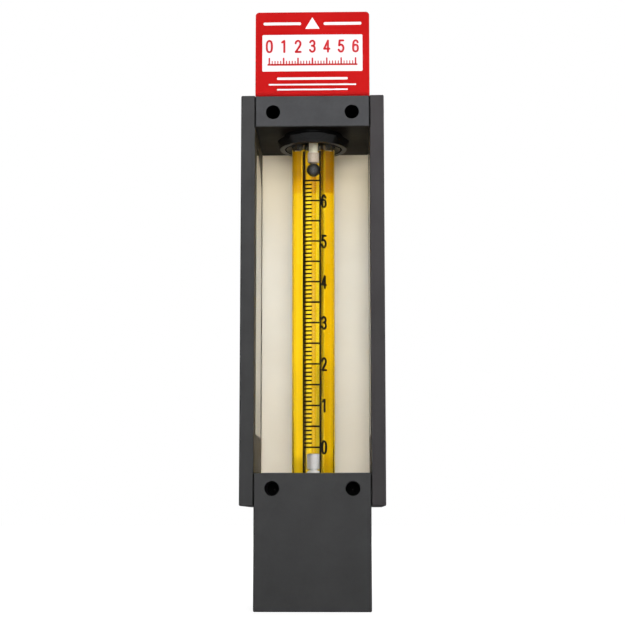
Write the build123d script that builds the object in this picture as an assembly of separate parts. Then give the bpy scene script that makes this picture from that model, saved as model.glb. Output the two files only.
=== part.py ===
from build123d import *
import os
from math import cos, radians, sin

# Variable-area flow meter with a 65 mm scale. Millimetres, +Z up, front face towards -Y.
# The origin is the centre of the bottom block's underside.

# ---- overall -------------------------------------------------------------
BLOCK_W = 27.70          # width of the two end blocks
DEPTH = 38.0             # front face to rear face of blocks and rails
FRONT, REAR = -DEPTH / 2, DEPTH / 2
BOTTOM_H = 32.28         # bottom block, underside to top
TOP_Z0, TOP_Z1 = 115.83, 123.43   # top block, underside and top
EDGE = 0.35              # broken edges of the machined blocks

# ---- side rails ----------------------------------------------------------
RAIL_T = 3.45
RAIL_Z0, RAIL_Z1 = 24.53, 123.60
RAIL_EDGE = 0.35
RAIL_SCREW_Y = (-2.0, 14.0)
RAIL_SCREW_Z = (28.40, 119.62)
RAIL_SCREW_R = 1.45      # shank
RAIL_HOLE_R = 1.50
RAIL_HEAD_R = 2.85       # flat countersunk head
RAIL_HEAD_H = 1.40
RAIL_SCREW_L = 7.2

# ---- front tapped holes --------------------------------------------------
FRONT_HOLE_R = 1.75
FRONT_HOLE_X = 19.05 / 2
FRONT_HOLE_Z = (28.60, 119.40)
FRONT_HOLE_L = 12.0

# ---- metering tube and what is in it --------------------------------------
AXIS_Y = FRONT + 9.5     # tube axis
TUBE_R = 5.17
TUBE_Z0, TUBE_Z1 = 24.50, 119.00
BORE_R0, BORE_R1 = 1.75, 1.98     # tapered bore, bottom and top
BALL_R = 3.35 / 2
BALL_Z = 106.73          # ball against the upper stop
UPPER_STOP_Z0 = BALL_Z + BALL_R + 0.02
LOWER_STOP_Z1 = 37.24

# ---- lower tube seat -------------------------------------------------------
WELL_R, WELL_Z0 = 6.90, 23.00
GASKET_T = 1.50
BUSH_Z1 = 31.90

# ---- upper gland -----------------------------------------------------------
GLAND_R = 6.50
GLAND_Z1 = 119.20
CHAMBER_R = 3.40
CHAMBER_Z1 = 121.60
NUT_Z0 = 112.35
NUT_AF = 16.60           # across flats
NUT_TURNED_R = 8.90      # corners turned to this radius
NUT_BOTTOM_R = 8.20
NUT_TOP_R = 7.25
NUT_GROOVE_R0, NUT_GROOVE_R1, NUT_GROOVE_H = 6.66, 7.07, 1.20   # groove in the lower face
NUT_MOUTH_H = 0.80       # coned mouth around the tube
NUT_BORE_R = 5.42
NUT_SHANK_R = 6.45
NUT_SHANK_Z1 = 117.80
NUT_TURN = 1.4           # degrees the flats are turned from square
FOLLOWER_T = 0.40

# ---- back plate ------------------------------------------------------------
PLATE_Y0 = FRONT + 28.0
PLATE_T = 1.90
SLOT_W = 2.0
SLOT_D = 2.0
LEG_Y0 = PLATE_Y0 + SLOT_W
LEG_Z0 = 107.60          # rear leg of the top block

# ---- ports -----------------------------------------------------------------
INLET_Z, OUTLET_Z = 12.0, 116.80
PORT_R = 4.80            # hole in the block for the adapter's stub
PORT_L = 6.50
RING_SEAT_R, RING_SEAT_L = 6.30, 1.60
PASS_R = 1.10            # outlet passage over the gland
PASS_Z = 120.40
INLET_PASS_R = 2.0

ADAPTER_STUB_R = 4.75
ADAPTER_HEX_AF = 12.70
ADAPTER_HEX_T = 2.50
ADAPTER_BODY_R = 5.90
ADAPTER_L = 14.0         # how far it stands behind the block
NPT_R = 4.33             # 1/8 NPT female, tapping diameter
NPT_L = 8.0
ADAPTER_PASS_R = 2.10
RING_MINOR = 0.74

# ---- name tag ---------------------------------------------------------------
TAG_W = 27.74
TAG_Y0 = FRONT + 0.05     # front face, just behind the blocks' front plane
TAG_Z1 = 144.46
TAG_T = 0.80
TAG_FOOT = 18.0
TAG_CORNER = 0.9
TAG_SCREW_XY = (6.0, -1.9)
TAG_SCREW_R, TAG_HOLE_R = 0.95, 1.0
TAG_HEAD_R, TAG_HEAD_H = 1.95, 1.25


def block(x0, x1, y0, y1, z0, z1):
    return Pos((x0 + x1) / 2, (y0 + y1) / 2, (z0 + z1) / 2) * Box(x1 - x0, y1 - y0, z1 - z0)


def cyl_z(x, y, z0, z1, r):
    return Pos(x, y, (z0 + z1) / 2) * Cylinder(r, z1 - z0)


def cyl_y(x, z, y0, y1, r):
    return Pos(x, (y0 + y1) / 2, z) * Rot(90, 0, 0) * Cylinder(r, y1 - y0)


def cyl_x(y, z, x0, x1, r):
    return Pos((x0 + x1) / 2, y, z) * Rot(0, 90, 0) * Cylinder(r, x1 - x0)


def turned(points, y=0.0):
    """Solid of revolution about the vertical line at (0, y); points are (radius, z)."""
    face = make_face(Polyline(*[(r, 0, z) for r, z in points], close=True))
    return Pos(0, y, 0) * revolve(face, Axis.Z, 360)


def turned_y(points, z):
    """Solid of revolution about the line along Y at height z; points are (radius, y)."""
    face = make_face(Polyline(*[(r, y, 0) for r, y in points], close=True))
    return Pos(0, 0, z) * revolve(face, Axis.Y, 360)


def hexagon(af, h, turn=0.0):
    r = af / 2 / cos(radians(30))
    pts = [
        (r * cos(radians(60 * k + turn)), r * sin(radians(60 * k + turn)))
        for k in range(6)
    ]
    return extrude(make_face(Polyline(*pts, close=True)), h)


def save(shape, name):
    solids = shape.solids()
    shape = solids[0] if len(solids) == 1 else Compound(children=list(solids))
    shape.label = name
    export_step(shape, f"parts/{name}.step")
    print(name, len(solids))


def front_holes(body, z):
    for x in (-FRONT_HOLE_X, FRONT_HOLE_X):
        end = FRONT + FRONT_HOLE_L
        body -= cyl_y(x, z, FRONT - 1, end, FRONT_HOLE_R)
        # drill point
        cone = Pos(x, end, z) * Rot(-90, 0, 0) * Pos(0, 0, 0.5) * Cone(FRONT_HOLE_R, 0.05, 1.0)
        body -= cone
    return body


def rail_screw_holes(body, z):
    for y in RAIL_SCREW_Y:
        for s in (-1, 1):
            a, b = s * (BLOCK_W / 2 - 4.6), s * (BLOCK_W / 2 + 1)
            body -= cyl_x(y, z, min(a, b), max(a, b), RAIL_HOLE_R)
    return body


def port(body, z):
    """Hole with a ring seat at the rear face."""
    body -= cyl_y(0, z, REAR - PORT_L, REAR + 1, PORT_R)
    body -= cyl_y(0, z, REAR - RING_SEAT_L, REAR + 1, RING_SEAT_R)
    return body


# ---- bottom block ------------------------------------------------------------
b = block(-BLOCK_W / 2, BLOCK_W / 2, FRONT, REAR, 0, BOTTOM_H)
b = fillet(b.edges(), EDGE)
b -= cyl_z(0, AXIS_Y, WELL_Z0, BOTTOM_H + 1, WELL_R)
b -= cyl_z(0, AXIS_Y, INLET_Z, WELL_Z0 + 0.5, INLET_PASS_R)
b -= cyl_y(0, INLET_Z, AXIS_Y - INLET_PASS_R, REAR - PORT_L + 0.5, INLET_PASS_R)
b = port(b, INLET_Z)
b = front_holes(b, FRONT_HOLE_Z[0])
b = rail_screw_holes(b, RAIL_SCREW_Z[0])
b -= block(-BLOCK_W, BLOCK_W, PLATE_Y0, PLATE_Y0 + SLOT_W, BOTTOM_H - SLOT_D, BOTTOM_H + 1)
save(b, "bottom_block")

# ---- top block: one machined piece with a leg down behind the back plate ------
side = make_face(
    Polyline(
        (0, FRONT, TOP_Z0),
        (0, LEG_Y0, TOP_Z0),
        (0, LEG_Y0, LEG_Z0),
        (0, REAR, LEG_Z0),
        (0, REAR, TOP_Z1),
        (0, FRONT, TOP_Z1),
        close=True,
    )
)
t = extrude(side, BLOCK_W / 2, dir=(1, 0, 0), both=True)
t = chamfer([e for e in t.edges() if abs(e.center().X) > BLOCK_W / 2 - 0.01], EDGE * 0.7)
t = fillet(
    [
        e
        for e in t.edges().filter_by(Axis.X)
        if abs(e.center().Y - FRONT) < 0.01 or (abs(e.center().Y - REAR) < 0.01)
    ],
    EDGE,
)
t -= cyl_z(0, AXIS_Y, TOP_Z0 - 1, GLAND_Z1, GLAND_R)
t -= cyl_z(0, AXIS_Y, GLAND_Z1 - 0.5, CHAMBER_Z1, CHAMBER_R)
t -= cyl_y(0, PASS_Z, AXIS_Y, REAR - PORT_L + 0.5, PASS_R)
t = port(t, OUTLET_Z)
t = front_holes(t, FRONT_HOLE_Z[1])
t = rail_screw_holes(t, RAIL_SCREW_Z[1])
t -= block(-BLOCK_W, BLOCK_W, PLATE_Y0, PLATE_Y0 + SLOT_W, TOP_Z0 - 0.01, TOP_Z0 + SLOT_D)
for s in (-1, 1):
    t -= cyl_z(s * TAG_SCREW_XY[0], TAG_SCREW_XY[1], TOP_Z1 - 4.4, TOP_Z1 + 1, TAG_HOLE_R)
save(t, "top_block")

# ---- side rails ---------------------------------------------------------------
for s, name in ((-1, "left_side_rail"), (1, "right_side_rail")):
    x0, x1 = s * BLOCK_W / 2, s * (BLOCK_W / 2 + RAIL_T)
    r = block(min(x0, x1), max(x0, x1), FRONT, REAR, RAIL_Z0, RAIL_Z1)
    r = fillet(r.edges(), RAIL_EDGE)
    for y in RAIL_SCREW_Y:
        for z in RAIL_SCREW_Z:
            r -= cyl_x(y, z, min(x0, x1) - 1, max(x0, x1) + 1, RAIL_HOLE_R)
            sink = Cone(RAIL_HOLE_R + 0.08, RAIL_HEAD_R + 0.12, RAIL_HEAD_H)
            r -= Pos(s * (BLOCK_W / 2 + RAIL_T - RAIL_HEAD_H / 2), y, z) * Rot(0, s * 90, 0) * sink
    save(r, name)

# ---- countersunk screws that hold the rails, eight alike -----------------------
screws = []
for s in (-1, 1):
    for y in RAIL_SCREW_Y:
        for z in RAIL_SCREW_Z:
            head = Pos(0, 0, -RAIL_HEAD_H / 2) * Cone(RAIL_SCREW_R, RAIL_HEAD_R, RAIL_HEAD_H)
            body = Pos(0, 0, -RAIL_SCREW_L / 2) * Cylinder(RAIL_SCREW_R, RAIL_SCREW_L)
            sc = head + body
            sc = Pos(0, 0, -0.06) * sc
            sc -= Pos(0, 0, -1.2) * hexagon(2.0, 1.5, 11.0 * z + 17.0 * y)
            screws.append(Pos(s * (BLOCK_W / 2 + RAIL_T), y, z) * Rot(0, s * 90, 0) * sc)
save(Compound(children=[x for k in screws for x in k.solids()]), "rail_screws")

# ---- back plate, held in the blocks' slots --------------------------------------
p = block(
    -BLOCK_W / 2 + 0.02, BLOCK_W / 2 - 0.02, PLATE_Y0, PLATE_Y0 + PLATE_T, BOTTOM_H - SLOT_D + 0.1, TOP_Z0 + SLOT_D - 0.1
)
p = fillet(p.edges().filter_by(Axis.Z), 0.2)
save(p, "back_plate")

# ---- glass tube with a tapered bore ----------------------------------------------
tube = turned(
    [
        (BORE_R0 + 0.25, TUBE_Z0),
        (TUBE_R - 0.35, TUBE_Z0),
        (TUBE_R, TUBE_Z0 + 0.35),
        (TUBE_R, TUBE_Z1 - 0.35),
        (TUBE_R - 0.35, TUBE_Z1),
        (BORE_R1 + 0.25, TUBE_Z1),
        (BORE_R1, TUBE_Z1 - 0.25),
        (BORE_R0, TUBE_Z0 + 0.25),
    ],
    AXIS_Y,
)
save(tube, "metering_tube")

# ---- ball --------------------------------------------------------------------------
save(Pos(0, AXIS_Y, BALL_Z) * Sphere(BALL_R), "ball_float")

# ---- float stops --------------------------------------------------------------------
# domed foot in the bore, neck, then the plain head that the ball lands on
low = turned(
    [
        (0, TUBE_Z0),
        (BORE_R0 - 0.05, TUBE_Z0),
        (BORE_R0 - 0.05, 32.40),
        (1.66, 32.75),
        (1.50, 33.05),
        (1.25, 33.30),
        (0.95, 33.45),
        (0.95, 33.70),
        (1.60, 33.70),
        (1.60, LOWER_STOP_Z1 - 0.15),
        (1.45, LOWER_STOP_Z1),
        (0, LOWER_STOP_Z1),
    ],
    AXIS_Y,
)
low -= cyl_z(0, AXIS_Y, TUBE_Z0 - 1, LOWER_STOP_Z1 + 1, 0.50)
save(low, "lower_float_stop")

up = turned(
    [
        (0, UPPER_STOP_Z0),
        (1.20, UPPER_STOP_Z0),
        (1.38, UPPER_STOP_Z0 + 0.18),
        (1.38, 110.98),
        (1.10, 111.08),
        (1.10, 116.6),
        (1.86, 116.9),
        (1.86, TUBE_Z1 - 0.3),
        (0, TUBE_Z1 - 0.3),
    ],
    AXIS_Y,
)
up -= cyl_z(0, AXIS_Y, UPPER_STOP_Z0 - 1, TUBE_Z1 + 1, 0.50)
save(up, "upper_float_stop")

# ---- lower seat: flat gasket under the tube, bush around it -----------------------------
save(
    turned([(2.2, WELL_Z0), (WELL_R - 0.05, WELL_Z0), (WELL_R - 0.05, WELL_Z0 + GASKET_T), (2.2, WELL_Z0 + GASKET_T)], AXIS_Y),
    "lower_tube_gasket",
)
bush = turned(
    [
        (TUBE_R + 0.05, WELL_Z0 + GASKET_T),
        (WELL_R - 0.04, WELL_Z0 + GASKET_T),
        (WELL_R - 0.04, BUSH_Z1),
        (TUBE_R + 0.45, BUSH_Z1),
        (TUBE_R + 0.05, BUSH_Z1 - 0.4),
    ],
    AXIS_Y,
)
save(bush, "lower_tube_bush")

# ---- gland nut, hexagon stock with turned ends -----------------------------------------
nut = Pos(0, 0, NUT_Z0) * hexagon(NUT_AF, TOP_Z0 - NUT_Z0, NUT_TURN)
limit = turned(
    [
        (0, NUT_Z0),
        (NUT_BOTTOM_R, NUT_Z0),
        (NUT_TURNED_R, NUT_Z0 + 1.90),
        (NUT_TURNED_R, NUT_Z0 + 2.05),
        (NUT_TOP_R, NUT_Z0 + 2.95),
        (NUT_TOP_R, TOP_Z0),
        (0, TOP_Z0),
    ]
)
nut = nut & limit
nut += cyl_z(0, 0, TOP_Z0 - 0.5, NUT_SHANK_Z1, NUT_SHANK_R)
nut -= cyl_z(0, 0, NUT_Z0 - 1, NUT_SHANK_Z1 + 1, NUT_BORE_R)
nut -= turned(
    [
        (NUT_GROOVE_R0, NUT_Z0 - 1),
        (NUT_GROOVE_R1, NUT_Z0 - 1),
        (NUT_GROOVE_R1, NUT_Z0 + NUT_GROOVE_H),
        (NUT_GROOVE_R0, NUT_Z0 + NUT_GROOVE_H),
    ]
)
nut -= turned(
    [
        (0, NUT_Z0 - 1),
        (NUT_GROOVE_R0 + 0.01, NUT_Z0 - 1),
        (NUT_GROOVE_R0 + 0.01, NUT_Z0 + 0.10),
        (NUT_BORE_R, NUT_Z0 + NUT_MOUTH_H),
        (NUT_BORE_R, NUT_Z0 + NUT_MOUTH_H + 0.4),
        (0, NUT_Z0 + NUT_MOUTH_H + 0.4),
    ]
)
save(Pos(0, AXIS_Y, 0) * nut, "gland_nut")

save(
    turned(
        [
            (TUBE_R + 0.12, NUT_SHANK_Z1),
            (GLAND_R - 0.06, NUT_SHANK_Z1),
            (GLAND_R - 0.06, NUT_SHANK_Z1 + FOLLOWER_T),
            (TUBE_R + 0.12, NUT_SHANK_Z1 + FOLLOWER_T),
        ],
        AXIS_Y,
    ),
    "packing_follower",
)
save(
    turned(
        [
            (TUBE_R + 0.02, NUT_SHANK_Z1 + FOLLOWER_T),
            (GLAND_R - 0.02, NUT_SHANK_Z1 + FOLLOWER_T),
            (GLAND_R - 0.02, GLAND_Z1),
            (TUBE_R + 0.02, GLAND_Z1),
        ],
        AXIS_Y,
    ),
    "upper_tube_packing",
)

# ---- rear adapters and their rings ---------------------------------------------------------
for z, name in ((INLET_Z, "inlet"), (OUTLET_Z, "outlet")):
    end = REAR + ADAPTER_L
    a = turned_y(
        [
            (0, REAR - PORT_L + 0.3),
            (ADAPTER_STUB_R - 0.4, REAR - PORT_L + 0.3),
            (ADAPTER_STUB_R, REAR - PORT_L + 0.7),
            (ADAPTER_STUB_R, REAR + ADAPTER_HEX_T - 0.2),
            (ADAPTER_BODY_R, REAR + ADAPTER_HEX_T - 0.2),
            (ADAPTER_BODY_R, end - 0.6),
            (ADAPTER_BODY_R - 0.6, end),
            (0, end),
        ],
        z,
    )
    # hexagon with its flats level, so it stays under the block's top
    hx = Pos(0, REAR, z) * Rot(-90, 0, 0) * hexagon(ADAPTER_HEX_AF, ADAPTER_HEX_T)
    hx = hx & turned_y(
        [(0, REAR), (7.25, REAR), (7.25, REAR + ADAPTER_HEX_T - 0.5), (6.4, REAR + ADAPTER_HEX_T), (0, REAR + ADAPTER_HEX_T)], z
    )
    a += hx
    # tapered female thread, open to the rear, then the through passage
    a -= turned_y(
        [
            (0, end + 1),
            (NPT_R + 0.5, end + 1),
            (NPT_R + 0.5, end),
            (NPT_R, end - 0.5),
            (NPT_R, end - NPT_L),
            (ADAPTER_PASS_R, end - NPT_L - 1.2),
            (ADAPTER_PASS_R, REAR - PORT_L - 1),
            (0, REAR - PORT_L - 1),
        ],
        z,
    )
    save(a, f"{name}_adapter")
    ring = Pos(0, REAR - RING_SEAT_L / 2, z) * Rot(90, 0, 0) * Torus((ADAPTER_STUB_R + RING_SEAT_R) / 2, RING_MINOR)
    save(ring, f"{name}_seal_ring")

# ---- name tag: one folded sheet ------------------------------------------------------------
# upright panel with a foot folded back over the top block
R_OUT, R_IN = 1.1, 0.3
z0 = TOP_Z1
with BuildSketch(Plane.YZ) as s:
    with BuildLine():
        Polyline((TAG_Y0, TAG_Z1), (TAG_Y0, z0 + R_OUT))
        RadiusArc((TAG_Y0, z0 + R_OUT), (TAG_Y0 + R_OUT, z0), -R_OUT)
        Polyline((TAG_Y0 + R_OUT, z0), (TAG_Y0 + TAG_FOOT, z0), (TAG_Y0 + TAG_FOOT, z0 + TAG_T), (TAG_Y0 + R_OUT, z0 + TAG_T))
        RadiusArc((TAG_Y0 + R_OUT, z0 + TAG_T), (TAG_Y0 + TAG_T, z0 + R_OUT), R_IN)
        Polyline((TAG_Y0 + TAG_T, z0 + R_OUT), (TAG_Y0 + TAG_T, TAG_Z1), (TAG_Y0, TAG_Z1))
    make_face()
tag = extrude(s.sketch, TAG_W / 2, both=True)
tag = fillet(
    [e for e in tag.edges().filter_by(Axis.Y) if e.center().Z > TAG_Z1 - 0.1 or e.center().Z < z0 - 5], TAG_CORNER
)
tag = fillet(
    [e for e in tag.edges().filter_by(Axis.Z) if e.center().Y > TAG_Y0 + TAG_FOOT - 0.1], 1.5
)
for q in (-1, 1):
    tag -= cyl_z(q * TAG_SCREW_XY[0], TAG_SCREW_XY[1], z0 - 1, z0 + TAG_T + 1, 1.1)
save(tag, "name_tag")

pins = []
for q in (-1, 1):
    zt = TOP_Z1 + TAG_T
    sc = turned(
        [
            (0, TOP_Z1 - 4.0),
            (TAG_SCREW_R, TOP_Z1 - 4.0),
            (TAG_SCREW_R, zt),
            (TAG_HEAD_R, zt),
            (TAG_HEAD_R, zt + 0.55),
            (TAG_HEAD_R - 0.35, zt + 1.0),
            (TAG_HEAD_R - 1.0, zt + TAG_HEAD_H),
            (0, zt + TAG_HEAD_H),
        ]
    )
    sc -= Pos(0, 0, zt + TAG_HEAD_H) * Rot(0, 0, 31 + 60 * q) * Box(5, 0.55, 1.2)
    pins.append(Pos(q * TAG_SCREW_XY[0], TAG_SCREW_XY[1], 0) * sc)
save(Compound(children=[x for k in pins for x in k.solids()]), "name_tag_screws")
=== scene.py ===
import math

import bmesh
import bpy
import numpy as np
from mathutils import Matrix, Vector


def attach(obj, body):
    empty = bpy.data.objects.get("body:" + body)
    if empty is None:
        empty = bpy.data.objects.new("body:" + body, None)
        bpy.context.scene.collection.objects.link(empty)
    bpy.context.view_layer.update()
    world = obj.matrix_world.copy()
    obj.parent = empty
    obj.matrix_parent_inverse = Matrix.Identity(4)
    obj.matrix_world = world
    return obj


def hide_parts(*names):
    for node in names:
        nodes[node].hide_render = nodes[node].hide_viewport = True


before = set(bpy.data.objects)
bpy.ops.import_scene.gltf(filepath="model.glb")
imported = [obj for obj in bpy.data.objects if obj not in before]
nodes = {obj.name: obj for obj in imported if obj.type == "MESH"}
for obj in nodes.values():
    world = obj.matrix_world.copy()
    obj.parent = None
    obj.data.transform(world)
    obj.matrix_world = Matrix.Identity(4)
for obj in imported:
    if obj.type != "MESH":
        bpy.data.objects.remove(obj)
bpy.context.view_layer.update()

MM = 0.001

# ---- places taken from the construction, in millimetres ----------------------
FRONT, REAR = -19.0, 19.0
AXIS_Y = -9.5
TUBE_R, TUBE_Z0, TUBE_Z1 = 5.17, 24.50, 119.00
BORE_R0, BORE_R1 = 1.75, 1.98
TAG_Y = -18.95
INLET_Z, OUTLET_Z = 12.0, 116.8

# ---- the scale on the tube ----------------------------------------------------
SCALE_Z0, SCALE_STEP = 38.47, 10.0      # height of the 0 tick, and of one number
LINE_L, LINE_L_W = -2.21, 0.46          # left rule: place across and width
LINE_R, LINE_R_W = 1.76, 0.41
LINE_Z0, LINE_Z1 = 31.6, 110.9
TICK_T = 0.39
SHORT_X1 = -0.23
NUM_X0, NUM_X1, NUM_H, NUM_STROKE = 1.93, 3.38, 3.36, 0.50


# ==============================================================================
# mesh helpers
# ==============================================================================
def make_object(name, verts, faces, smooth=None):
    """Mesh object from millimetre points. smooth is the angle, in degrees, over which an edge stays sharp."""
    me = bpy.data.meshes.new(name)
    me.from_pydata([tuple(c * MM for c in v) for v in verts], [], faces)
    me.validate()
    bm = bmesh.new()
    bm.from_mesh(me)
    bmesh.ops.recalc_face_normals(bm, faces=bm.faces)
    bm.to_mesh(me)
    bm.free()
    if smooth is not None:
        for p in me.polygons:
            p.use_smooth = True
        me.set_sharp_from_angle(angle=math.radians(smooth))
    ob = bpy.data.objects.new(name, me)
    bpy.context.scene.collection.objects.link(ob)
    return ob


def lathe_z(name, profile, y=AXIS_Y, seg=224, smooth=30):
    """Solid of revolution about the vertical line at (0, y); profile is a closed line of (radius, z)."""
    verts, faces = [], []
    n = len(profile)
    for k in range(seg):
        a = 2 * math.pi * k / seg
        for r, z in profile:
            verts.append((r * math.sin(a), y - r * math.cos(a), z))
    for k in range(seg):
        k2 = (k + 1) % seg
        for i in range(n):
            j = (i + 1) % n
            faces.append((k * n + i, k * n + j, k2 * n + j, k2 * n + i))
    return make_object(name, verts, faces, smooth)


def on_tube(x, r):
    """Point of the tube's surface, at radius r, that lies at x across; returns (x, y)."""
    a = math.asin(max(-1.0, min(1.0, x / TUBE_R)))
    return r * math.sin(a), AXIS_Y - r * math.cos(a)


def curved_bar(verts, faces, x0, x1, z0, z1, r0, r1, step=0.25):
    """Thin closed bar printed round the tube from x0 to x1, between heights z0 and z1."""
    n = max(1, int(math.ceil(abs(x1 - x0) / step)))
    base = len(verts)
    for i in range(n + 1):
        x = x0 + (x1 - x0) * i / n
        a, b = on_tube(x, r0), on_tube(x, r1)
        verts += [(a[0], a[1], z0), (b[0], b[1], z0), (b[0], b[1], z1), (a[0], a[1], z1)]
    for i in range(n):
        p, q = base + 4 * i, base + 4 * (i + 1)
        for j in range(4):
            k = (j + 1) % 4
            faces.append((p + j, q + j, q + k, p + k))
    e = base + 4 * n
    faces.append((base + 3, base + 2, base + 1, base))
    faces.append((e, e + 1, e + 2, e + 3))


def field_shell(verts, faces, field, u0, u1, v0, v1, h, place):
    """Closed thin shell over the region where field(u, v) < 0, on a grid of step h.
    place(u, v, side) gives the point of the outer (1) or inner (0) skin."""
    nu, nv = int(math.ceil((u1 - u0) / h)), int(math.ceil((v1 - v0) / h))
    us = [u0 + (u1 - u0) * i / nu for i in range(nu + 1)]
    vs = [v0 + (v1 - v0) * j / nv for j in range(nv + 1)]
    f = [[field(u, v) for v in vs] for u in us]
    flat, index = [], {}

    def corner(i, j):
        key = (i, j)
        if key not in index:
            index[key] = len(flat)
            flat.append((us[i], vs[j]))
        return index[key]

    def crossing(i, j, i2, j2):
        key = (min((i, j), (i2, j2)), max((i, j), (i2, j2)))
        if key not in index:
            a, b = f[i][j], f[i2][j2]
            t = min(0.98, max(0.02, a / (a - b)))
            index[key] = len(flat)
            flat.append((us[i] + (us[i2] - us[i]) * t, vs[j] + (vs[j2] - vs[j]) * t))
        return index[key]

    polys = []
    for i in range(nu):
        for j in range(nv):
            ring = [(i, j), (i + 1, j), (i + 1, j + 1), (i, j + 1)]
            inside = [f[a][b] < 0 for a, b in ring]
            if not any(inside):
                continue
            out = []
            for k in range(4):
                a, b = ring[k], ring[(k + 1) % 4]
                if inside[k]:
                    out.append(corner(*a))
                if inside[k] != inside[(k + 1) % 4]:
                    out.append(crossing(*a, *b))
            if len(out) >= 3:
                polys.append(out)
    base, n = len(verts), len(flat)
    for u, v in flat:
        verts.append(place(u, v, 1))
    for u, v in flat:
        verts.append(place(u, v, 0))
    edges = {}
    for p in polys:
        for k in range(len(p)):
            e = (p[k], p[(k + 1) % len(p)])
            edges[e] = edges.get(e, 0) + 1
        faces.append(tuple(base + i for i in p))
        faces.append(tuple(base + n + i for i in reversed(p)))
    for a, b in edges:
        if (b, a) not in edges:
            faces.append((base + b, base + a, base + n + a, base + n + b))


# ---- numerals as centre lines in a unit box, condensed -------------------------
def arc(cx, cy, rx, ry, a0, a1, n=14):
    return [
        (cx + rx * math.cos(math.radians(a0 + (a1 - a0) * k / n)), cy + ry * math.sin(math.radians(a0 + (a1 - a0) * k / n)))
        for k in range(n + 1)
    ]


def oval(cx, cy, rx, ry, e=2.6, n=44):
    pts = []
    for k in range(n + 1):
        a = 2 * math.pi * k / n
        c, s = math.cos(a), math.sin(a)
        pts.append((cx + rx * math.copysign(abs(c) ** (2 / e), c), cy + ry * math.copysign(abs(s) ** (2 / e), s)))
    return pts


NUMERALS = {
    0: [oval(0.5, 0.5, 0.5, 0.5)],
    1: [[(0.20, 0.86), (0.62, 1.0), (0.62, 0.0)]],
    2: [arc(0.5, 0.73, 0.47, 0.27, 172, -22) + [(0.80, 0.48), (0.05, 0.0), (1.0, 0.0)]],
    3: [
        arc(0.48, 0.765, 0.44, 0.235, 160, -70) + [(0.40, 0.54)],
        [(0.40, 0.54)] + arc(0.48, 0.275, 0.49, 0.275, 72, -158),
    ],
    4: [[(0.74, 0.0), (0.74, 1.0), (0.0, 0.26), (1.02, 0.26)]],
    5: [[(0.92, 1.0), (0.20, 1.0), (0.11, 0.55)] + arc(0.46, 0.31, 0.50, 0.32, 118, -155)],
    6: [arc(0.52, 0.70, 0.45, 0.30, 22, 150, 8) + arc(0.50, 0.50, 0.47, 0.30, 165, 180, 3) + [(0.03, 0.30)], oval(0.5, 0.30, 0.47, 0.30, 2.4)],
}


def numeral_field(n, x, z, w, h, stroke):
    """Signed distance to numeral n, centred at (x, z), w by h over all, in millimetres."""
    cw, ch = w - stroke, h - stroke
    lines = [[(x - cw / 2 + cw * u, z - ch / 2 + ch * v) for u, v in path] for path in NUMERALS[n]]

    def field(u, v):
        best = 1e9
        for path in lines:
            for (ax, ay), (bx, by) in zip(path, path[1:]):
                dx, dy = bx - ax, by - ay
                t = max(0.0, min(1.0, ((u - ax) * dx + (v - ay) * dy) / (dx * dx + dy * dy + 1e-12)))
                d = (u - ax - t * dx) ** 2 + (v - ay - t * dy) ** 2
                if d < best:
                    best = d
        return math.sqrt(best) - stroke / 2

    return field


# ==============================================================================
# pieces
# ==============================================================================
# glass tube, same form as its construction solid, with fire-rounded ends
glass = lathe_z(
    "glass_tube",
    [
        (BORE_R0 + 0.22, TUBE_Z0),
        (TUBE_R - 0.36, TUBE_Z0),
        (TUBE_R - 0.11, TUBE_Z0 + 0.10),
        (TUBE_R, TUBE_Z0 + 0.36),
        (TUBE_R, TUBE_Z1 - 0.36),
        (TUBE_R - 0.11, TUBE_Z1 - 0.10),
        (TUBE_R - 0.36, TUBE_Z1),
        (BORE_R1 + 0.25, TUBE_Z1),
        (BORE_R1, TUBE_Z1 - 0.25),
        (BORE_R0, TUBE_Z0 + 0.25),
    ],
    smooth=40,
)
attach(glass, "housing")
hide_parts("metering_tube")

# yellow coat, fired on the rear half of the tube and seen through the glass
COAT_R0, COAT_R1 = 5.180, 5.212
COAT_Z0, COAT_Z1 = 31.0, 112.12
COAT_HALF = 104.0        # degrees each side of straight back
coat_verts, coat_faces = [], []
N_A, N_Z = 150, 60
ring = []
for side in (0, 1):
    r = (COAT_R0, COAT_R1)[side]
    for i in range(N_A + 1):
        a = math.radians(180 - COAT_HALF + 2 * COAT_HALF * i / N_A)
        for j in range(N_Z + 1):
            coat_verts.append((r * math.sin(a), AXIS_Y - r * math.cos(a), COAT_Z0 + (COAT_Z1 - COAT_Z0) * j / N_Z))


def coat_at(side, i, j):
    return side * (N_A + 1) * (N_Z + 1) + i * (N_Z + 1) + j


for i in range(N_A):
    for j in range(N_Z):
        coat_faces.append((coat_at(1, i, j), coat_at(1, i + 1, j), coat_at(1, i + 1, j + 1), coat_at(1, i, j + 1)))
        coat_faces.append((coat_at(0, i, j + 1), coat_at(0, i + 1, j + 1), coat_at(0, i + 1, j), coat_at(0, i, j)))
for i in range(N_A):
    for j in (0, N_Z):
        coat_faces.append((coat_at(0, i, j), coat_at(0, i + 1, j), coat_at(1, i + 1, j), coat_at(1, i, j)))
for j in range(N_Z):
    for i in (0, N_A):
        coat_faces.append((coat_at(0, i, j), coat_at(1, i, j), coat_at(1, i, j + 1), coat_at(0, i, j + 1)))
coat = make_object("tube_yellow_coat", coat_verts, coat_faces, smooth=40)
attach(coat, "housing")

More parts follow.
